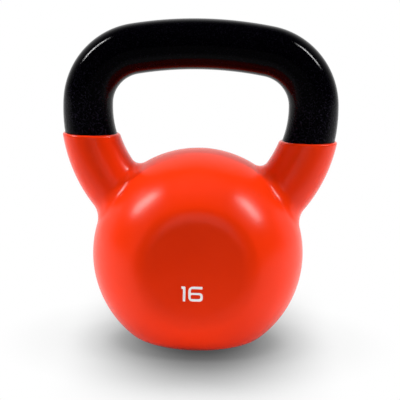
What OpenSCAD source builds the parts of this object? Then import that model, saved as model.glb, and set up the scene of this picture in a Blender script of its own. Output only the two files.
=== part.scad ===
// Solid cast-iron kettlebell, 16 kg, with a dip-moulded vinyl jacket.
// A ball with two blended horns and an arched grip is one casting. Baked black
// enamel covers the grip, a vinyl jacket covers the ball and the horns, and the
// weight figure is printed on the front flat.
//
// Frame: +Z up, X along the grip, -Y the front. The origin is the middle of the
// flat that the kettlebell stands on. Millimetres.

/* [Body] */
// Height from the floor to the crown of the grip
overall_h = 244.3; // [238:0.1:252]
// Diameter of the jacketed ball
ball_d = 158; // [155:0.5:162]
// Depth between the front and back flats of the jacket
body_depth = 135; // [131:0.5:138]
// Diameter at which the ball's sphere meets the standing plane
base_d = 79.5; // [70:0.5:88]
// Rounding of the casting's edge at the front and back flats
face_edge_r = 1.5; // [0.5:0.1:3]
// Rounding of the casting's edge at the standing flat
base_edge_r = 5; // [2:0.5:8]

/* [Handle] */
// Width over the two upright legs of the handle
handle_w = 205; // [199:0.2:212]
// Diameter of the enamelled grip
bar_d = 37.7; // [35:0.1:40]
// Diameter of the enamelled legs under the bends
leg_d = 37.1; // [35:0.1:40]
// Diameter of the casting's horns where they run into the ball
foot_d = 39.6; // [38:0.1:44]
// Centreline radius of the two bends
bend_r = 41.4; // [38:0.1:45]
// Centreline radius of the slightly arched grip
crown_r = 279.5; // [250:0.5:330]
// Centreline radius of the inward-curving legs
leg_r = 96.8; // [91:0.2:103]
// Fillet between the horns and the ball
fillet_r = 9.3; // [6:0.1:13]
// Film thickness of the baked enamel on the handle
enamel_t = 0.2; // [0.1:0.05:0.4]

/* [Vinyl jacket] */
// Wall thickness of the vinyl
jacket_t = 2.2; // [1.6:0.1:3]
// Mean height of the jacket's two rims over the floor
rim_h = 156.3; // [151:0.1:161]
// Height by which the -X rim sits above the mean and the +X rim below it
rim_lean = 1.4; // [0:0.1:2.5]
// Length of enamel that each rim laps over
lap = 3.6; // [2.5:0.1:5]
// Height of the rounded lip at each rim
lip = 1.8; // [1.2:0.1:2.2]

/* [Weight figure] */
// Height of the two digits
digit_h = 10.9; // [9:0.1:14]
// Stroke width of the digits
stroke = 1.8; // [1.4:0.1:2.8]
// Thickness of the printed ink
ink_t = 0.3; // [0.2:0.05:0.5]
// Drop of the digits' centre under the ball's centre
digit_drop = 17.2; // [12:0.1:20]
// Sideways position of the pair's centre
digit_x = -2.4; // [-6:0.1:6]

/* [Hidden] */

// Points around each cross-section ring, and rings along each stretch
ring_n = 40;
n_bar = 5;
n_bend = 8;
n_leg = 3;
n_horn = 9;
n_ball = 14;

// The casting under its coverings
body_r = ball_d / 2 - jacket_t;
face_y = body_depth / 2 - jacket_t;
bar_r = bar_d / 2 - enamel_t;
stem_r = leg_d / 2 - enamel_t;
ball_z = sqrt(pow(ball_d / 2, 2) - pow(base_d / 2, 2));

// Handle centreline in the XZ plane, for the +X half: crown, bend, leg.
// A heading of 0 runs along +X and 90 runs straight down.
top_z = overall_h - bar_d / 2;
leg_x = handle_w / 2 - leg_d / 2;
bend_end = 88;
leg_end = 133;
bend_start = asin((leg_x - leg_r - (bend_r - leg_r) * sin(bend_end)) / (crown_r - bend_r));
crown_c = [0, top_z - crown_r];
bend_c = crown_c + (crown_r - bend_r) * [sin(bend_start), cos(bend_start)];
leg_c = bend_c + (bend_r - leg_r) * [sin(bend_end), cos(bend_end)];
foot_p = leg_c + leg_r * [sin(leg_end), cos(leg_end)];
foot_v = [cos(leg_end), -sin(leg_end)];
foot_len = 0.53 * body_r;

// Apex line of the fan of section planes that slice the ball, and the tilt of
// the last horn section
fan_tilt = 50;
fan_z = ball_z + 1.57 * body_r;
fan_d = (fan_z - ball_z) * cos(fan_tilt);
neck_p = [fan_d * sin(fan_tilt), ball_z + fan_d * cos(fan_tilt)];

// ---- The casting as a signed distance -------------------------------------

function clamp(v, lo, hi) = min(hi, max(lo, v));
function ease(t) = t * t * (3 - 2 * t);

// Union of two distances with a circular fillet, and intersection with a
// circular rounding
function join(a, b, r) =
    let (u = max(r - a, 0), v = max(r - b, 0)) max(r, min(a, b)) - sqrt(u * u + v * v);
function meet(a, b, r) =
    let (u = max(r + a, 0), v = max(r + b, 0)) min(-r, max(a, b)) + sqrt(u * u + v * v);

// [distance from the arc, local bar radius] in the XZ plane
function arc_at(p, c, r, h0, h1, r0, r1) =
    let (
        v = p - c,
        h = clamp(atan2(v.x, v.y), h0, h1),
        d = norm(v - r * [sin(h), cos(h)])
    ) [d, r0 + (r1 - r0) * ease((h - h0) / (h1 - h0))];
function tail_at(p) =
    let (t = clamp((p - foot_p) * foot_v, 0, foot_len)) [norm(p - foot_p - t * foot_v), foot_d / 2];
function nearer(a, b) = a[0] - a[1] < b[0] - b[1] ? a : b;

// Handle and horns: a round bar that swells along its legs
function bar_at(x, y, z) =
    let (
        p = [abs(x), z],
        a = arc_at(p, crown_c, crown_r, 0, bend_start, bar_r, bar_r),
        b = arc_at(p, bend_c, bend_r, bend_start, bend_end, bar_r, stem_r),
        c = arc_at(p, leg_c, leg_r, bend_end, leg_end, stem_r, foot_d / 2),
        k = nearer(nearer(a, b), nearer(c, tail_at(p)))
    ) norm([k[0], y]) - k[1];

// Ball cut by the front and back flats and by the standing flat
function ball_at(x, y, z) =
    meet(
        meet(norm([x, y, z - ball_z]) - body_r, abs(y) - face_y, face_edge_r),
        jacket_t - z, base_edge_r
    );

function iron_at(p) = join(ball_at(p.x, p.y, p.z), bar_at(p.x, p.y, p.z), fillet_r);

// ---- Cross-section rings ---------------------------------------------------

// Where the ray from c along d leaves the casting grown by g
function march(c, d, g, t, n) =
    let (e = iron_at(c + t * d) - g)
    n == 0 || abs(e) < 0.6
        ? refine(c, d, g, t, e, t - 0.7 * e - 1e-5, 12)
        : march(c, d, g, t - 0.95 * e, n - 1);
function refine(c, d, g, ta, ea, tb, n) =
    let (eb = iron_at(c + tb * d) - g, k = (eb - ea) / (tb - ta))
    n == 0 || abs(eb) < 1e-7 ? tb : refine(c, d, g, tb, eb, tb - eb / (k > 0.1 ? k : 0.5), n - 1);

// Points on the flats are set exactly on them
function tidy(v) = round(v * 1e4) / 1e4;
function settle(p, g) = [tidy(p.x), clamp(tidy(p.y), -face_y - g, face_y + g), max(tidy(p.z), jacket_t - g)];

// A section is [centre x, centre z, in-plane direction x, z]. Its second
// in-plane direction is Y, and it is mirrored in Y.
function section_pt(s, g, j) =
    let (a = 360 * j / ring_n, c = [s[0], 0, s[1]], d = [s[2] * cos(a), sin(a), s[3] * cos(a)])
    settle(c + march(c, d, g, 0, 40) * d, g);
function mirror_y(p) = [p.x, -p.y, p.z];
function section_ring(s, g) =
    let (h = [for (j = [0 : ring_n / 2]) section_pt(s, g, j)])
    concat(h, [for (j = [ring_n / 2 - 1 : -1 : 1]) mirror_y(h[j])]);

// Sections of one side. The rim of the vinyl is at height rz, its lap ends at lz.
function rim_z(side) = rim_h - side * rim_lean;
function lap_z(side) = rim_z(side) - lap;
function leg_at(z) = leg_c[0] + sqrt(leg_r * leg_r - pow(z - leg_c[1], 2));
function flat_section(z) = [leg_at(z), z, 1, 0];
function grip_sections(side) =
    let (rz = rim_z(side))
    concat(
        [for (i = [0 : n_bar - 1]) let (x = bend_c[0] * i / n_bar)
            [x, crown_c[1] + sqrt(crown_r * crown_r - x * x), 0, 1]],
        [for (i = [0 : n_bend]) let (a = 90 * i / n_bend)
            [bend_c[0] + bend_r * sin(a), bend_c[1] + bend_r * cos(a), sin(a), cos(a)]],
        [for (i = [1 : n_leg - 1]) flat_section(bend_c[1] + (rz - bend_c[1]) * i / n_leg)]
    );
function rim_sections(side) =
    let (rz = rim_z(side))
    [flat_section(rz), flat_section(rz - 0.3 * lip), flat_section(rz - lip), flat_section(lap_z(side))];
function horn_sections(side) =
    let (lz = lap_z(side), x0 = leg_at(lz))
    [for (i = [1 : n_horn]) let (
        t = i / n_horn, a = fan_tilt * t, x = x0 + (neck_p[0] - x0) * t
    ) [x, lz + (fan_z - lz) * t - x * tan(a), cos(a), -sin(a)]];
function ball_sections() =
    [for (i = [1 : n_ball]) let (d = fan_d * cos(90 * i / n_ball), a = acos(d / (fan_z - ball_z)))
        [d * sin(a), ball_z + d * cos(a), cos(a), -sin(a)]];

// ---- Ring lists ------------------------------------------------------------

function rings(sections, g) = [for (s = sections) section_ring(s, g)];
function mirror_x(list) = [for (r = list) [for (p = r) [-p.x, p.y, p.z]]];
function flip(list) = [for (i = [len(list) - 1 : -1 : 0]) list[i]];
function from(list, i) = [for (k = [i : len(list) - 1]) list[k]];
// Both sides of a run that starts at the X = 0 plane, from the -X end to the
// +X end; the shared middle ring is kept once
function across(minus, plus) = concat(flip(mirror_x(minus)), from(plus, 1));

// Skin rings of one side
function grip_rings(side, g) = rings(concat(grip_sections(side), rim_sections(side)), g);
function body_rings(side, g) = rings(concat(horn_sections(side), ball_sections()), g);

// A closed tube of rings: the last ring joins the first. The diagonals change
// hand from ring `turn` on, where a list runs back, so that two skins that touch
// share their facets.
module ring_tube(list, turn) {
    n = len(list);
    pts = [for (r = list, p = r) p];
    polyhedron(
        points = pts,
        faces = [for (i = [0 : n - 1], j = [0 : ring_n - 1], k = [0 : 1])
            let (
                i2 = (i + 1) % n, j2 = (j + 1) % ring_n,
                a = i * ring_n + j, b = i * ring_n + j2, c = i2 * ring_n + j2, d = i2 * ring_n + j
            ) i < turn ? (k == 0 ? [a, b, c] : [a, c, d]) : (k == 0 ? [a, b, d] : [b, c, d])]
    );
}

// ---- Sub-parts -------------------------------------------------------------

// Ball, horns and handle in one grey-iron casting
module iron_casting() {
    plus = concat(grip_rings(1, 0), body_rings(1, 0));
    minus = concat(grip_rings(-1, 0), body_rings(-1, 0));
    n = len(plus);
    color([0.26, 0.26, 0.27])
        ring_tube(concat(plus, flip(mirror_x([for (i = [1 : n - 2]) minus[i]]))), 2 * n);
}

// Baked film over the handle, down to the end of each lap
module handle_enamel() {
    outer = across(grip_rings(-1, enamel_t), grip_rings(1, enamel_t));
    inner = across(grip_rings(-1, 0), grip_rings(1, 0));
    color([0.05, 0.05, 0.055]) ring_tube(concat(outer, flip(inner)), len(outer));
}

// Vinyl over the ball and the horns. Each rim has a rounded lip and steps over
// the last few millimetres of enamel.
function jacket_outer(side) =
    let (s = rim_sections(side))
    concat(
        [section_ring(s[0], 0.45 * jacket_t), section_ring(s[1], 0.8 * jacket_t)],
        rings([s[2], s[3]], jacket_t), body_rings(side, jacket_t)
    );
function jacket_inner(side) =
    concat(
        rings(rim_sections(side), enamel_t),
        [section_ring(rim_sections(side)[3], 0)], body_rings(side, 0)
    );
// Both sides of a run that ends at the X = 0 plane, from the +X end to the -X end
function under(plus, minus) = concat(plus, from(flip(mirror_x(minus)), 1));
module vinyl_jacket() {
    outer = under(jacket_outer(1), jacket_outer(-1));
    inner = under(jacket_inner(1), jacket_inner(-1));
    color([0.93, 0.2, 0.09]) ring_tube(concat(outer, flip(inner)), len(outer));
}

// ---- Weight figure ---------------------------------------------------------

one_w = stroke + 0.11 * digit_h;
six_w = 0.96 * digit_h;
digit_gap = 0.19 * digit_h;
pair_w = one_w + digit_gap + six_w;

// Points on a quarter turn of a corner, from angle a
function quarter(c, r, a) = [for (i = [0 : 4]) c + r * [cos(a + 22.5 * i), sin(a + 22.5 * i)]];
function rounded_rect(x0, y0, x1, y1, r) =
    concat(
        quarter([x1 - r, y1 - r], r, 0), quarter([x0 + r, y1 - r], r, 90),
        quarter([x0 + r, y0 + r], r, 180), quarter([x1 - r, y0 + r], r, 270)
    );

// Stands a flat figure on the front flat, x0 from the pair's left edge
module inked(x0) {
    color([0.95, 0.95, 0.94])
        translate([digit_x - pair_w / 2 + x0, -body_depth / 2, ball_z - digit_drop - digit_h / 2])
            rotate([90, 0, 0]) children();
}

// A stem with a short level flag and a rounded shoulder
module digit_one() {
    shoulder = 0.5 * stroke;
    inked(0) linear_extrude(ink_t) polygon(concat(
        [[one_w - stroke, 0], [one_w, 0]],
        quarter([one_w - shoulder, digit_h - shoulder], shoulder, 0),
        [[0, digit_h], [0, digit_h - stroke], [one_w - stroke, digit_h - stroke]]
    ));
}

// A square bowl under a top bar, rounder on the side of its stem
module digit_six() {
    stem_corner = 0.29 * digit_h;
    bowl_corner = 0.22 * digit_h;
    bowl = 0.577 * digit_h;
    bowl_bar = 0.82 * stroke;
    top_bar = six_w - 0.03 * digit_h;
    inner = 0.3 * (bowl - stroke - bowl_bar);
    inked(one_w + digit_gap) difference() {
        linear_extrude(ink_t) polygon(concat(
            [[top_bar, digit_h - stroke], [top_bar, digit_h]],
            quarter([stem_corner, digit_h - stem_corner], stem_corner, 90),
            quarter([stem_corner, stem_corner], stem_corner, 180),
            quarter([six_w - bowl_corner, bowl_corner], bowl_corner, 270),
            quarter([six_w - bowl_corner, bowl - bowl_corner], bowl_corner, 0),
            [[stroke, bowl]],
            flip(quarter([stroke + inner, digit_h - stroke - inner], inner, 90))
        ));
        translate([0, 0, -1]) linear_extrude(ink_t + 2)
            polygon(rounded_rect(stroke, stroke, six_w - stroke, bowl - bowl_bar, inner));
    }
}

iron_casting();
handle_enamel();
vinyl_jacket();
digit_one();
digit_six();
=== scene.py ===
"""Kettlebell: smooth skins, materials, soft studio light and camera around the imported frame."""

from math import cos, pi, radians, sin

import bpy
import numpy as np
from mathutils import Matrix, Vector


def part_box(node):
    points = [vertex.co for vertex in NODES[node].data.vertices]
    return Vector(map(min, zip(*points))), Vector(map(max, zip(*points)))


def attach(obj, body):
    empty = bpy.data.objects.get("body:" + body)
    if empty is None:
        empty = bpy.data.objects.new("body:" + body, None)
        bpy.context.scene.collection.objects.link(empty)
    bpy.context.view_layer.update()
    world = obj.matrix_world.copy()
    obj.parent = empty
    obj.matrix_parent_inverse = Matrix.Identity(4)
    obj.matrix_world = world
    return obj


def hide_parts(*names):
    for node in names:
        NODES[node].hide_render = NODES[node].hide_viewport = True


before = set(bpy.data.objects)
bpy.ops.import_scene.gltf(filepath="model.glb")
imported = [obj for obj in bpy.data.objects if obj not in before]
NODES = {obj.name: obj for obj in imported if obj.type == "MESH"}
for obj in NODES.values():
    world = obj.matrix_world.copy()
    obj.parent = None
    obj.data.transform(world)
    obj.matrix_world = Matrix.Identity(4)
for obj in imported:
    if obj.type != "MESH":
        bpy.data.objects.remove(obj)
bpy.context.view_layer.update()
MM = 0.001

# ---- Sizes, in mm, as the solids have them -----------------------------------------------

jacket_lo, jacket_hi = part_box("vinyl_jacket")
enamel_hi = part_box("handle_enamel")[1]

# Height over the crown of the grip, and depth between the jacket's flats
OVERALL_H = enamel_hi[2] / MM
BODY_DEPTH = jacket_hi[1] / MM - jacket_lo[1] / MM

# Jacketed ball, and the diameter at which its sphere meets the standing plane
BALL_D = 158.0
BASE_D = 79.5
# Rounding of the casting's edges at its flats
FACE_EDGE_R = 1.5
BASE_EDGE_R = 5.0

# Width over the handle's legs, then the diameters of the grip, the legs and the horns' feet
HANDLE_W = 205.0
BAR_D = 37.7
LEG_D = 37.1
FOOT_D = 39.6
# Centreline radii of the bends, the grip and the legs
BEND_R = 41.4
CROWN_R = 279.5
LEG_R = 96.8
# Fillet between the horns and the ball
FILLET_R = 9.3

# Coverings: their thickness, the jacket's mean rim height, and the height by which the -X rim
# sits above that and the +X rim below it
ENAMEL_T = 0.2
JACKET_T = 2.2
RIM_H = 156.3
RIM_LEAN = 1.4
# Length of enamel that a rim laps over, and the height of its rounded lip
LAP = 3.6
LIP = 1.8

# The casting under its coverings
BODY_R = BALL_D / 2 - JACKET_T
FACE_Y = BODY_DEPTH / 2 - JACKET_T
BAR_R = BAR_D / 2 - ENAMEL_T
STEM_R = LEG_D / 2 - ENAMEL_T
BALL_Z = ((BALL_D / 2) ** 2 - (BASE_D / 2) ** 2) ** 0.5

# Handle centreline in the XZ plane, for the +X half: crown, bend and leg arcs, then a straight
# foot that ends in the ball. A heading of 0 runs along +X and one of 90 degrees straight down.
TOP_Z = OVERALL_H - BAR_D / 2
LEG_X = HANDLE_W / 2 - LEG_D / 2
BEND_END = radians(88)
LEG_END = radians(133)
BEND_START = np.arcsin((LEG_X - LEG_R - (BEND_R - LEG_R) * sin(BEND_END)) / (CROWN_R - BEND_R))
FOOT_LEN = 0.53 * BODY_R


def on_heading(h):
    """Unit vector in the XZ plane from an arc's centre to its point with heading h."""
    return np.array([sin(h), cos(h)])


CROWN_C = np.array([0.0, TOP_Z - CROWN_R])
BEND_C = CROWN_C + (CROWN_R - BEND_R) * on_heading(BEND_START)
LEG_C = BEND_C + (BEND_R - LEG_R) * on_heading(BEND_END)
FOOT_P = LEG_C + LEG_R * on_heading(LEG_END)
FOOT_V = np.array([cos(LEG_END), -sin(LEG_END)])

# Apex line of the fan of section planes that slice the ball, and the last horn section's tilt
FAN_TILT = radians(50)
FAN_Z = BALL_Z + 1.57 * BODY_R
FAN_D = (FAN_Z - BALL_Z) * cos(FAN_TILT)
NECK_X = FAN_D * sin(FAN_TILT)

# Points around each ring, and rings along each stretch of one half. The jacket's hidden inner
# face takes every second of the horn and ball rings.
AROUND = 192
BAR_RINGS = 26
BEND_RINGS = 40
LEG_RINGS = 14
LAP_RINGS = 4
LIP_RINGS = 9
HORN_RINGS = 46
BALL_RINGS = 104

# Search for the surface along a ray: cautious steps, then halvings of what lies this near
STEPS = 60
STEP_SHARE = 0.9
BRACKET = 1.0
HALVINGS = 24


# ---- The casting as a signed distance ----------------------------------------------------

def join(a, b, r):
    """Union of two distances with a circular fillet."""
    u, v = np.maximum(r - a, 0), np.maximum(r - b, 0)
    return np.maximum(r, np.minimum(a, b)) - np.hypot(u, v)


def meet(a, b, r):
    """Intersection of two distances with a circular rounding."""
    u, v = np.maximum(r + a, 0), np.maximum(r + b, 0)
    return np.minimum(-r, np.maximum(a, b)) + np.hypot(u, v)


def arc_at(x, z, c, r, h0, h1, r0, r1):
    """Distance from an arc about c between two headings, and the bar's radius there, r0 to r1."""
    vx, vz = x - c[0], z - c[1]
    h = np.clip(np.arctan2(vx, vz), h0, h1)
    t = (h - h0) / (h1 - h0)
    return np.hypot(vx - r * np.sin(h), vz - r * np.cos(h)), r0 + (r1 - r0) * t * t * (3 - 2 * t)


def foot_at(x, z):
    """Distance from the straight foot, and its radius."""
    t = np.clip((x - FOOT_P[0]) * FOOT_V[0] + (z - FOOT_P[1]) * FOOT_V[1], 0, FOOT_LEN)
    return np.hypot(x - FOOT_P[0] - t * FOOT_V[0], z - FOOT_P[1] - t * FOOT_V[1]), FOOT_D / 2


def bar_at(x, y, z):
    """Handle and horns: a round bar that swells along its legs."""
    x = np.abs(x)
    runs = [
        arc_at(x, z, CROWN_C, CROWN_R, 0, BEND_START, BAR_R, BAR_R),
        arc_at(x, z, BEND_C, BEND_R, BEND_START, BEND_END, BAR_R, STEM_R),
        arc_at(x, z, LEG_C, LEG_R, BEND_END, LEG_END, STEM_R, FOOT_D / 2),
        foot_at(x, z),
    ]
    d, r = runs[0]
    for d2, r2 in runs[1:]:
        nearer = d2 - r2 < d - r
        d, r = np.where(nearer, d2, d), np.where(nearer, r2, r)
    return np.hypot(d, y) - r


def ball_at(x, y, z):
    """Ball cut by the front and back flats and by the standing flat."""
    sphere = np.sqrt(x * x + y * y + (z - BALL_Z) ** 2) - BODY_R
    return meet(meet(sphere, np.abs(y) - FACE_Y, FACE_EDGE_R), JACKET_T - z, BASE_EDGE_R)


def iron_at(x, y, z):
    return join(ball_at(x, y, z), bar_at(x, y, z), FILLET_R)


# ---- Cross-section rings -----------------------------------------------------------------
# A section is (x, z, dx, dz): a plane through (x, 0, z) along Y and along (dx, 0, dz).

def section_points(sections, growth):
    """Rings where the section planes cut the casting grown by growth, as (sections, AROUND, 3)."""
    planes = np.array(sections, float)
    grown = np.broadcast_to(np.asarray(growth, float), (len(planes),))[:, None]
    turn = np.arange(AROUND) * 2 * pi / AROUND
    cx, cz = planes[:, 0:1], planes[:, 1:2]
    dx, dy, dz = planes[:, 2:3] * np.cos(turn), np.sin(turn)[None, :], planes[:, 3:4] * np.cos(turn)

    def clearance(t):
        """Distance from the grown casting to the point at t along each ray."""
        return iron_at(cx + t * dx, t * dy, cz + t * dz) - grown

    t = np.zeros(dx.shape)
    for _ in range(STEPS):
        t -= STEP_SHARE * clearance(t)
    lo, hi = t - BRACKET, t + BRACKET
    for _ in range(HALVINGS):
        t = (lo + hi) / 2
        outside = clearance(t) > 0
        lo, hi = np.where(outside, lo, t), np.where(outside, t, hi)
    return np.stack([cx + t * dx, t * dy, cz + t * dz], -1)


def rim_z(side):
    return RIM_H - side * RIM_LEAN


def leg_at(z):
    """X of the leg's centreline."""
    return LEG_C[0] + (LEG_R ** 2 - (z - LEG_C[1]) ** 2) ** 0.5


def flat_section(z):
    return (leg_at(z), z, 1.0, 0.0)


def flat_run(z0, z1, n):
    """Level sections down the leg."""
    return [flat_section(z) for z in np.linspace(z0, z1, n)]


def grip_sections(side):
    """From the X = 0 plane to just over the rim of the vinyl."""
    bar = []
    for x in np.linspace(0, BEND_C[0], BAR_RINGS)[:-1]:
        bar.append((x, CROWN_C[1] + (CROWN_R ** 2 - x * x) ** 0.5, 0.0, 1.0))
    bend = []
    for a in np.linspace(0, pi / 2, BEND_RINGS):
        bend.append((*(BEND_C + BEND_R * on_heading(a)), sin(a), cos(a)))
    return bar + bend + flat_run(BEND_C[1], rim_z(side), LEG_RINGS + 1)[1:-1]


def horn_sections(side, n):
    """From the end of the lap to the ball, tilting as they go."""
    lap_end = rim_z(side) - LAP
    x0 = leg_at(lap_end)
    out = []
    for t in np.linspace(0, 1, n + 1)[1:]:
        a, x = FAN_TILT * t, x0 + (NECK_X - x0) * t
        out.append((x, lap_end + (FAN_Z - lap_end) * t - x * np.tan(a), cos(a), -sin(a)))
    return out


def ball_sections(n):
    """A fan about the apex line, from the last horn section to the X = 0 plane."""
    out = []
    for i in range(1, n + 1):
        d = FAN_D * cos(pi / 2 * i / n)
        a = np.arccos(min(1.0, d / (FAN_Z - BALL_Z)))
        out.append((d * sin(a), BALL_Z + d * cos(a), cos(a), -sin(a)))
    return out


# ---- Skins -------------------------------------------------------------------------------

def mirror_x(rings):
    return rings * np.array([-1.0, 1.0, 1.0])


def tube(name, rings):
    """A closed tube of rings, the last joined to the first, as a smooth mesh object in metres."""
    n, m = rings.shape[:2]
    i, j = np.meshgrid(np.arange(n), np.arange(m), indexing="ij")
    i2, j2 = (i + 1) % n, (j + 1) % m
    quads = np.stack([i * m + j2, i * m + j, i2 * m + j, i2 * m + j2], -1).reshape(-1, 4)
    mesh = bpy.data.meshes.new(name)
    mesh.vertices.add(n * m)
    mesh.vertices.foreach_set("co", (rings.reshape(-1) * MM).astype(np.float32))
    mesh.loops.add(quads.size)
    mesh.loops.foreach_set("vertex_index", quads.reshape(-1).astype(np.int32))
    mesh.polygons.add(len(quads))
    mesh.polygons.foreach_set("loop_start", np.arange(0, quads.size, 4, dtype=np.int32))
    mesh.polygons.foreach_set("use_smooth", np.ones(len(quads), bool))
    mesh.update(calc_edges=True)
    mesh.validate()
    obj = bpy.data.objects.new(name, mesh)
    bpy.context.scene.collection.objects.link(obj)
    return obj


def enamel_face(growth):
    """Rings from the -X lap over the grip to the +X lap."""
    halves = []
    for side in (-1, 1):
        lap = flat_run(rim_z(side), rim_z(side) - LAP, LAP_RINGS)
        halves.append(section_points(grip_sections(side) + lap, growth))
    return np.concatenate([mirror_x(halves[0])[::-1], halves[1][1:]])


def enamel_skin():
    return tube("enamel_skin", np.concatenate([enamel_face(ENAMEL_T), enamel_face(0.0)[::-1]]))


def jacket_side(side):
    """Outer rings with the rounded lip, and plain inner rings, from the rim to the X = 0 plane."""
    rim, lap_end = rim_z(side), rim_z(side) - LAP
    turn = np.linspace(0, pi / 2, LIP_RINGS)
    lip = [flat_section(rim - LIP * (1 - cos(a))) for a in turn]
    lip_growth = [ENAMEL_T + (JACKET_T - ENAMEL_T) * sin(a) for a in turn]
    wall = flat_run(rim - LIP, lap_end, LAP_RINGS)[1:]
    wall += horn_sections(side, HORN_RINGS) + ball_sections(BALL_RINGS)
    outer = section_points(lip + wall, lip_growth + [JACKET_T] * len(wall))
    lap = [flat_section((rim + lap_end) / 2), flat_section(lap_end)]
    back = [flat_section(lap_end)]
    back += horn_sections(side, HORN_RINGS // 2) + ball_sections(BALL_RINGS // 2)
    inner = section_points(lap + back, [ENAMEL_T] * len(lap) + [0.0] * len(back))
    return outer, inner


def jacket_skin():
    (plus_out, plus_in), (minus_out, minus_in) = jacket_side(1), jacket_side(-1)
    outer = np.concatenate([plus_out, mirror_x(minus_out)[::-1][1:]])
    inner = np.concatenate([plus_in, mirror_x(minus_in)[::-1][1:]])
    return tube("vinyl_skin", np.concatenate([outer, inner[::-1]]))


# ---- Shader nodes ------------------------------------------------------------------------

# Where a ramp's new stops start before they are placed
HALFWAY = 0.5


def new_material(name):
    """A material with its tree, its Principled shader and the coordinates on the object."""
    mat = bpy.data.materials.new(name)
    mat.use_nodes = True
    tree = mat.node_tree
    coords = tree.nodes.new("ShaderNodeTexCoord").outputs["Object"]
    return mat, tree, tree.nodes["Principled BSDF"], coords


def add(tree, kind, **values):
    """One node, with values for its inputs or its settings."""
    node = tree.nodes.new(kind)
    for key, value in values.items():
        if key in node.inputs:
            node.inputs[key].default_value = value
        else:
            setattr(node, key, value)
    return node


def noise(tree, coords, scale, detail, roughness):
    node = add(tree, "ShaderNodeTexNoise", Scale=scale, Detail=detail, Roughness=roughness)
    tree.links.new(coords, node.inputs["Vector"])
    return node.outputs["Fac"]


def remap(tree, value, span, levels):
    """The first level at the start of span and the second at its end, and held beyond both."""
    node = add(tree, "ShaderNodeMapRange")
    for key, v in zip(("From Min", "From Max", "To Min", "To Max"), (*span, *levels)):
        node.inputs[key].default_value = v
    tree.links.new(value, node.inputs["Value"])
    return node.outputs["Result"]


def combine(tree, operation, *values):
    """One math node over sockets and numbers."""
    node = add(tree, "ShaderNodeMath", operation=operation)
    for socket, v in zip(node.inputs, values):
        if isinstance(v, (int, float)):
            socket.default_value = v
        else:
            tree.links.new(v, socket)
    return node.outputs[0]


def bell(tree, value, centre, flat, half):
    """1 within flat of centre, falling smoothly to 0 at half away from it."""
    off = combine(tree, "ABSOLUTE", combine(tree, "SUBTRACT", value, centre))
    out = remap(tree, off, (flat, half), (1.0, 0.0))
    out.node.interpolation_type = "SMOOTHSTEP"
    return out


def ramp(tree, value, stops):
    """Level that eases through (place, level) stops."""
    node = tree.nodes.new("ShaderNodeValToRGB")
    band = node.color_ramp
    band.interpolation = "EASE"
    while len(band.elements) < len(stops):
        band.elements.new(HALFWAY)
    for element, (place, level) in zip(band.elements, stops):
        element.position = place
        element.color = (level, level, level, 1)
    tree.links.new(value, node.inputs[0])
    return node.outputs[0]


def blend_colour(tree, fac, colours):
    node = tree.nodes.new("ShaderNodeMix")
    node.data_type = "RGBA"
    node.inputs["A"].default_value = (*colours[0], 1)
    node.inputs["B"].default_value = (*colours[1], 1)
    tree.links.new(fac, node.inputs["Factor"])
    return node.outputs["Result"]


def bump(tree, height, strength, distance, normal=None):
    """Normal tilted by height, over another normal if one is given."""
    node = add(tree, "ShaderNodeBump", Strength=strength, Distance=distance)
    tree.links.new(height, node.inputs["Height"])
    if normal is not None:
        tree.links.new(normal, node.inputs["Normal"])
    return node.outputs["Normal"]


# ---- Materials ---------------------------------------------------------------------------

# Levels from none to all
UNIT = (0.0, 1.0)
# Where most of a noise's values lie
SPREAD = (0.3, 0.7)

# Vinyl: satin, under a glossy coat that comes in on the horns, between two heights over the
# ball in mm
VINYL_COLOURS = ((0.80, 0.0295, 0.0016), (0.84, 0.0335, 0.0026))
VINYL_ROUGH = (0.23, 0.27)
VINYL_IOR = 1.24
COAT_RISE = (0.3, 2.5)
COAT_WEIGHT = 0.5
COAT_ROUGH = 0.05
COAT_IOR = 1.35

# Enamel: black, with faint specks of painted glint that stand for light caught on the casting's grain.
# The specks and the grain show most low on the legs, and their share falls between two heights in
# metres.
ENAMEL_AND_GLINT_COLOURS = ((0.0003, 0.0002, 0.0006), (0.018, 0.0145, 0.026))
ENAMEL_ROUGH = (0.04, 0.08)
ENAMEL_IOR = 1.18
GRAIN_AND_GLINT_SPAN = (0.165, 0.215)
GRAIN_AND_GLINT_SHARE = (1.0, 0.2)

IRON_COLOURS = ((0.045, 0.043, 0.042), (0.085, 0.08, 0.076))
IRON_ROUGH = (0.55, 0.75)
IRON_METAL = 0.85

INK_COLOURS = ((0.92, 0.93, 0.92), (0.98, 0.98, 0.97))
INK_ROUGH = (0.42, 0.55)


def vinyl_material():
    """Dip-moulded PVC with a faint flow unevenness and orange peel."""
    mat, tree, shader, coords = new_material("orange_vinyl")
    link = tree.links.new
    drift = noise(tree, coords, scale=14.0, detail=3.0, roughness=0.5)
    tint = remap(tree, drift, (0.35, 0.65), UNIT)
    link(blend_colour(tree, tint, VINYL_COLOURS), shader.inputs["Base Color"])
    streaks = noise(tree, coords, scale=60.0, detail=4.0, roughness=0.6)
    link(remap(tree, streaks, SPREAD, VINYL_ROUGH), shader.inputs["Roughness"])
    waves = noise(tree, coords, scale=28.0, detail=1.0, roughness=0.4)
    flow = bump(tree, waves, strength=0.10, distance=0.0008)
    pores = noise(tree, coords, scale=420.0, detail=2.0, roughness=0.5)
    peel = bump(tree, pores, strength=0.06, distance=0.00012, normal=flow)
    link(peel, shader.inputs["Normal"])
    link(peel, shader.inputs["Coat Normal"])
    out = add(tree, "ShaderNodeVectorMath", operation="DISTANCE")
    link(coords, out.inputs[0])
    out.inputs[1].default_value = (0, 0, BALL_Z * MM)
    span = [(BALL_D / 2 + rise) * MM for rise in COAT_RISE]
    coat = remap(tree, out.outputs["Value"], span, (0.0, COAT_WEIGHT))
    link(coat, shader.inputs["Coat Weight"])
    shader.inputs["IOR"].default_value = VINYL_IOR
    shader.inputs["Coat Roughness"].default_value = COAT_ROUGH
    shader.inputs["Coat IOR"].default_value = COAT_IOR
    return mat


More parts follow.
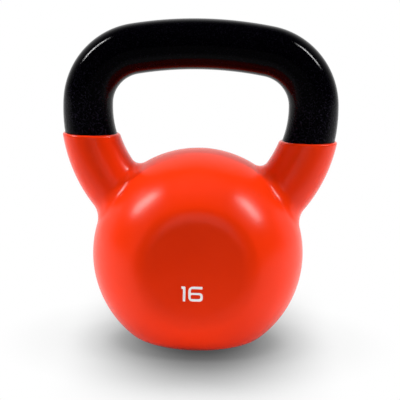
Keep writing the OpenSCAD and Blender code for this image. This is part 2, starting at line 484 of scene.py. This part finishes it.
def enamel_material():
    """Baked black enamel over cast iron: glossy, with the casting's fine grain showing through, and
    painted glints in its colour where that grain catches the light.
    """
    mat, tree, shader, coords = new_material("black_enamel")
    link = tree.links.new
    axes = tree.nodes.new("ShaderNodeSeparateXYZ")
    link(coords, axes.inputs[0])
    share = remap(tree, axes.outputs["Z"], GRAIN_AND_GLINT_SPAN, GRAIN_AND_GLINT_SHARE)
    # Painted glints: pale specks in the base colour that stand for light caught on the grain, mostly
    # low on the legs
    glint_noise = noise(tree, coords, scale=800.0, detail=3.0, roughness=0.7)
    painted_glints = combine(tree, "MULTIPLY", remap(tree, glint_noise, (0.52, 0.70), UNIT), share)
    link(blend_colour(tree, painted_glints, ENAMEL_AND_GLINT_COLOURS), shader.inputs["Base Color"])
    gloss = noise(tree, coords, scale=260.0, detail=4.0, roughness=0.65)
    link(remap(tree, gloss, (0.35, 0.7), ENAMEL_ROUGH), shader.inputs["Roughness"])
    grit = noise(tree, coords, scale=650.0, detail=4.0, roughness=0.65)
    grain = bump(tree, combine(tree, "MULTIPLY", grit, share), strength=0.55, distance=0.00045)
    swell = noise(tree, coords, scale=90.0, detail=2.0, roughness=0.5)
    lumps = bump(tree, swell, strength=0.10, distance=0.0005, normal=grain)
    link(lumps, shader.inputs["Normal"])
    shader.inputs["IOR"].default_value = ENAMEL_IOR
    return mat


def iron_material():
    """As-cast grey iron, all of it under the coverings."""
    mat, tree, shader, coords = new_material("bare_iron")
    link = tree.links.new
    tone = remap(tree, noise(tree, coords, scale=90.0, detail=5.0, roughness=0.6), SPREAD, UNIT)
    link(blend_colour(tree, tone, IRON_COLOURS), shader.inputs["Base Color"])
    skin = noise(tree, coords, scale=300.0, detail=3.0, roughness=0.6)
    link(remap(tree, skin, SPREAD, IRON_ROUGH), shader.inputs["Roughness"])
    sand = noise(tree, coords, scale=600.0, detail=5.0, roughness=0.7)
    link(bump(tree, sand, strength=0.5, distance=0.0004), shader.inputs["Normal"])
    shader.inputs["Metallic"].default_value = IRON_METAL
    return mat


def ink_material():
    """White screen ink with a faint mottle."""
    mat, tree, shader, coords = new_material("white_ink")
    link = tree.links.new
    mottle = noise(tree, coords, scale=900.0, detail=3.0, roughness=0.6)
    tone = remap(tree, mottle, SPREAD, UNIT)
    link(blend_colour(tree, tone, INK_COLOURS), shader.inputs["Base Color"])
    link(remap(tree, mottle, SPREAD, INK_ROUGH), shader.inputs["Roughness"])
    return mat


def dress(obj, mat):
    obj.data.materials.clear()
    obj.data.materials.append(mat)


# ---- Pieces ------------------------------------------------------------------------------

jacket = jacket_skin()
dress(jacket, vinyl_material())
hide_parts("vinyl_jacket")
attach(jacket, "root")

enamel = enamel_skin()
dress(enamel, enamel_material())
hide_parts("handle_enamel")
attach(enamel, "root")

ink = ink_material()
iron = iron_material()
for node, mat in (("iron_casting", iron), ("digit_one", ink), ("digit_six", ink)):
    for slot in NODES[node].material_slots:
        slot.material = mat


# ---- Floor -------------------------------------------------------------------------------
# Lengths from here on are in metres.

FLOOR_R = 4.0
FLOOR_SIDES = 96
AO_SAMPLES = 16
# Close shade: how far the floor looks for the object, and openness to level
NEAR_REACH = 0.09
NEAR_STOPS = ((0.0, 0.42), (0.35, 0.56), (0.6, 0.80), (0.8, 0.94), (1.0, 1.0))
# Broad shade: how far and which way the floor looks, and the depth between two opennesses
WIDE_REACH = 0.40
WIDE_LEAN = (0.0, 0.77, 0.64)
WIDE_OPEN = (0.99, 0.90)
WIDE_DEPTH = (0.0, 0.82)
# Middle, flat half width and full half width of the broad shade along X and Y
SHADE_X = (0.0037, 0.002, 0.106)
SHADE_Y = (0.0084, 0.026, 0.233)
# What gloss and glass see of the floor's level, between two places along Y
SEEN_SPAN = (-0.32, 0.10)
SEEN_LEVEL = (0.12, 1.0)
# What share of light the paper reflects, between two places along Y
PAPER_SPAN = (-0.26, -0.08)
PAPER_LEVEL = (0.0, 0.82)


def floor_shadow(tree, x, y):
    """Level of the floor under the object's soft shade, from how open the floor is to it."""
    near = add(tree, "ShaderNodeAmbientOcclusion", Distance=NEAR_REACH, samples=AO_SAMPLES)
    wide = add(tree, "ShaderNodeAmbientOcclusion", Distance=WIDE_REACH, Normal=WIDE_LEAN,
               samples=AO_SAMPLES)
    window = combine(tree, "MULTIPLY", bell(tree, x, *SHADE_X), bell(tree, y, *SHADE_Y))
    depth = remap(tree, wide.outputs["AO"], WIDE_OPEN, WIDE_DEPTH)
    broad = combine(tree, "SUBTRACT", 1.0, combine(tree, "MULTIPLY", depth, window))
    return combine(tree, "MULTIPLY", ramp(tree, near.outputs["AO"], NEAR_STOPS), broad)


def stage_floor():
    """White paper. The camera sees it plain white under the object's soft shade, and gloss and
    glass see it darken towards the front. The light that it bounces fades out in front of the
    object."""
    bpy.ops.mesh.primitive_circle_add(vertices=FLOOR_SIDES, radius=FLOOR_R, fill_type="NGON",
                                      location=(0, 0, 0))
    floor = bpy.context.object
    floor.name = "stage_floor"
    mat = bpy.data.materials.new("stage_white")
    mat.use_nodes = True
    tree = mat.node_tree
    tree.nodes.clear()
    link = tree.links.new
    axes = tree.nodes.new("ShaderNodeSeparateXYZ")
    link(tree.nodes.new("ShaderNodeTexCoord").outputs["Object"], axes.inputs[0])
    x, y, _ = axes.outputs
    rays = tree.nodes.new("ShaderNodeLightPath").outputs
    seen = combine(tree, "MAXIMUM", remap(tree, y, SEEN_SPAN, SEEN_LEVEL), rays["Is Camera Ray"])
    glow = tree.nodes.new("ShaderNodeEmission")
    link(combine(tree, "MULTIPLY", floor_shadow(tree, x, y), seen), glow.inputs["Strength"])
    mirrored = combine(tree, "MAXIMUM", rays["Is Glossy Ray"], rays["Is Transmission Ray"])
    shown = combine(tree, "MAXIMUM", rays["Is Camera Ray"], mirrored)
    paper = tree.nodes.new("ShaderNodeBsdfDiffuse")
    link(remap(tree, y, PAPER_SPAN, PAPER_LEVEL), paper.inputs["Color"])
    mix = tree.nodes.new("ShaderNodeMixShader")
    link(shown, mix.inputs[0])
    link(paper.outputs[0], mix.inputs[1])
    link(glow.outputs[0], mix.inputs[2])
    out = tree.nodes.new("ShaderNodeOutputMaterial")
    link(mix.outputs[0], out.inputs["Surface"])
    floor.data.materials.append(mat)


# ---- World and lamps ---------------------------------------------------------------------
# Directions in the world are unit vectors, so a place along an axis runs from -1 to 1.

# The strength that shows as white
WHITE = 1.0
# Level of the backdrop from straight to the side, where Y is 0, to straight behind, where it is 1
COVE_STOPS = ((0.0, 0.0), (0.3, 0.14), (0.6, 0.46), (0.9, 1.0))
# Share of that level, between two places along Z
TOP_SPAN = (0.60, 0.93)
TOP_SHARE = (1.0, 0.08)
# Share of its own level at which the backdrop lights the object
COVE_LIGHT = 0.5
# Middle, flat half width and full half width of each strip along Y and Z, and how far the pair
# is turned about Z
STRIP_Y = (0.0, 0.015, 0.045)
STRIP_Z = (0.66, 0.09, 0.20)
STRIP_TURN = 0.065
# Each strip comes in between two distances from X = 0
STRIP_SPAN = (0.2, 0.4)
STRIP_LEVEL = 92.0

# Lamps that gloss doesn't see: name, direction from AIM, distance, size across and up, and watts
AIM = (0, 0, 0.1)
SOFT_BOXES = (
    ("overhead", (0.0, 0.08, 1.0), 1.4, (1.2, 1.2), 9.0),
    ("front", (0.0, -1.0, 0.22), 1.8, (1.2, 0.8), 12.7),
    ("front_left", (-1.0, -0.5, 0.1), 1.4, (0.9, 0.9), 2.0),
    ("back", (0.0, 0.6, 0.8), 1.6, (1.2, 0.8), 19.0),
    ("back_left", (-1.0, 0.8, 0.3), 1.4, (0.9, 0.9), 1.0),
    ("back_right", (1.0, 0.8, 0.3), 1.4, (0.9, 0.9), 1.0),
    ("low_left", (-1.0, 0.5, 0.06), 1.4, (0.3, 0.9), 7.5),
    ("low_right", (1.0, 0.5, 0.06), 1.4, (0.3, 0.9), 7.5),
)


def studio_world():
    """A white backdrop that ends overhead and at both sides, with one long soft strip high on each
    side. The camera and glass see white all round, and gloss sees white where the backdrop stands."""
    world = bpy.data.worlds.new("studio")
    world.use_nodes = True
    bpy.context.scene.world = world
    tree = world.node_tree
    tree.nodes.clear()
    link = tree.links.new
    axes = tree.nodes.new("ShaderNodeSeparateXYZ")
    link(tree.nodes.new("ShaderNodeTexCoord").outputs["Generated"], axes.inputs[0])
    x, y, z = axes.outputs
    top = remap(tree, z, TOP_SPAN, TOP_SHARE)
    cove = combine(tree, "MULTIPLY", ramp(tree, y, COVE_STOPS), top)
    turned = combine(tree, "MULTIPLY_ADD", x, STRIP_TURN, y)
    strip = combine(tree, "MULTIPLY", bell(tree, turned, *STRIP_Y), bell(tree, z, *STRIP_Z))
    side = remap(tree, combine(tree, "ABSOLUTE", x), STRIP_SPAN, (0, STRIP_LEVEL))
    studio = combine(tree, "MULTIPLY_ADD", cove, COVE_LIGHT, combine(tree, "MULTIPLY", strip, side))
    rays = tree.nodes.new("ShaderNodeLightPath").outputs
    plain = combine(tree, "MAXIMUM", rays["Is Camera Ray"], rays["Is Transmission Ray"])
    seen = combine(tree, "MAXIMUM", plain, combine(tree, "MULTIPLY", rays["Is Glossy Ray"], cove))
    shown = tree.nodes.new("ShaderNodeMix")
    link(seen, shown.inputs["Factor"])
    link(studio, shown.inputs["A"])
    shown.inputs["B"].default_value = WHITE
    back = add(tree, "ShaderNodeBackground", Color=(1, 1, 1, 1))
    link(shown.outputs["Result"], back.inputs["Strength"])
    out = tree.nodes.new("ShaderNodeOutputWorld")
    link(back.outputs[0], out.inputs["Surface"])


def soft_box(name, direction, distance, size, power):
    """Area lamp that faces AIM, with its second size upwards."""
    light = bpy.data.lights.new(name, "AREA")
    light.shape = "RECTANGLE"
    light.size, light.size_y = size
    light.energy = power
    lamp = bpy.data.objects.new(name, light)
    away = Vector(direction).normalized()
    lamp.location = Vector(AIM) + away * distance
    lamp.rotation_euler = away.to_track_quat("Z", "Y").to_euler()
    lamp.visible_glossy = False
    bpy.context.scene.collection.objects.link(lamp)


# ---- Camera ------------------------------------------------------------------------------

# Turn to the right, rise over level and roll, in degrees
CAM_TURN = 1.0
CAM_RISE = 9.62
CAM_ROLL = 1.145
# What the camera looks at and from how far, then the lens and the sensor in mm
CAM_TARGET = (0.0008, 0, 0.1083)
CAM_DISTANCE = 1.3235
CAM_LENS = 158.6
CAM_SENSOR = 36.0


def camera():
    turn, rise, roll = radians(CAM_TURN), radians(CAM_RISE), radians(CAM_ROLL)
    back = Vector((sin(turn) * cos(rise), -cos(turn) * cos(rise), sin(rise)))
    right = Vector((cos(turn), sin(turn), 0))
    up = back.cross(right)
    right, up = right * cos(roll) + up * sin(roll), up * cos(roll) - right * sin(roll)
    data = bpy.data.cameras.new("camera")
    data.lens = CAM_LENS
    data.sensor_width = CAM_SENSOR
    cam = bpy.data.objects.new("camera", data)
    place = Matrix.Translation(Vector(CAM_TARGET) + back * CAM_DISTANCE)
    cam.matrix_world = place @ Matrix((right, up, back)).transposed().to_4x4()
    bpy.context.scene.collection.objects.link(cam)
    bpy.context.scene.camera = cam


camera()
stage_floor()
studio_world()
for box in SOFT_BOXES:
    soft_box(*box)
bpy.context.scene.view_settings.view_transform = "Standard"

bpy.context.view_layer.update()
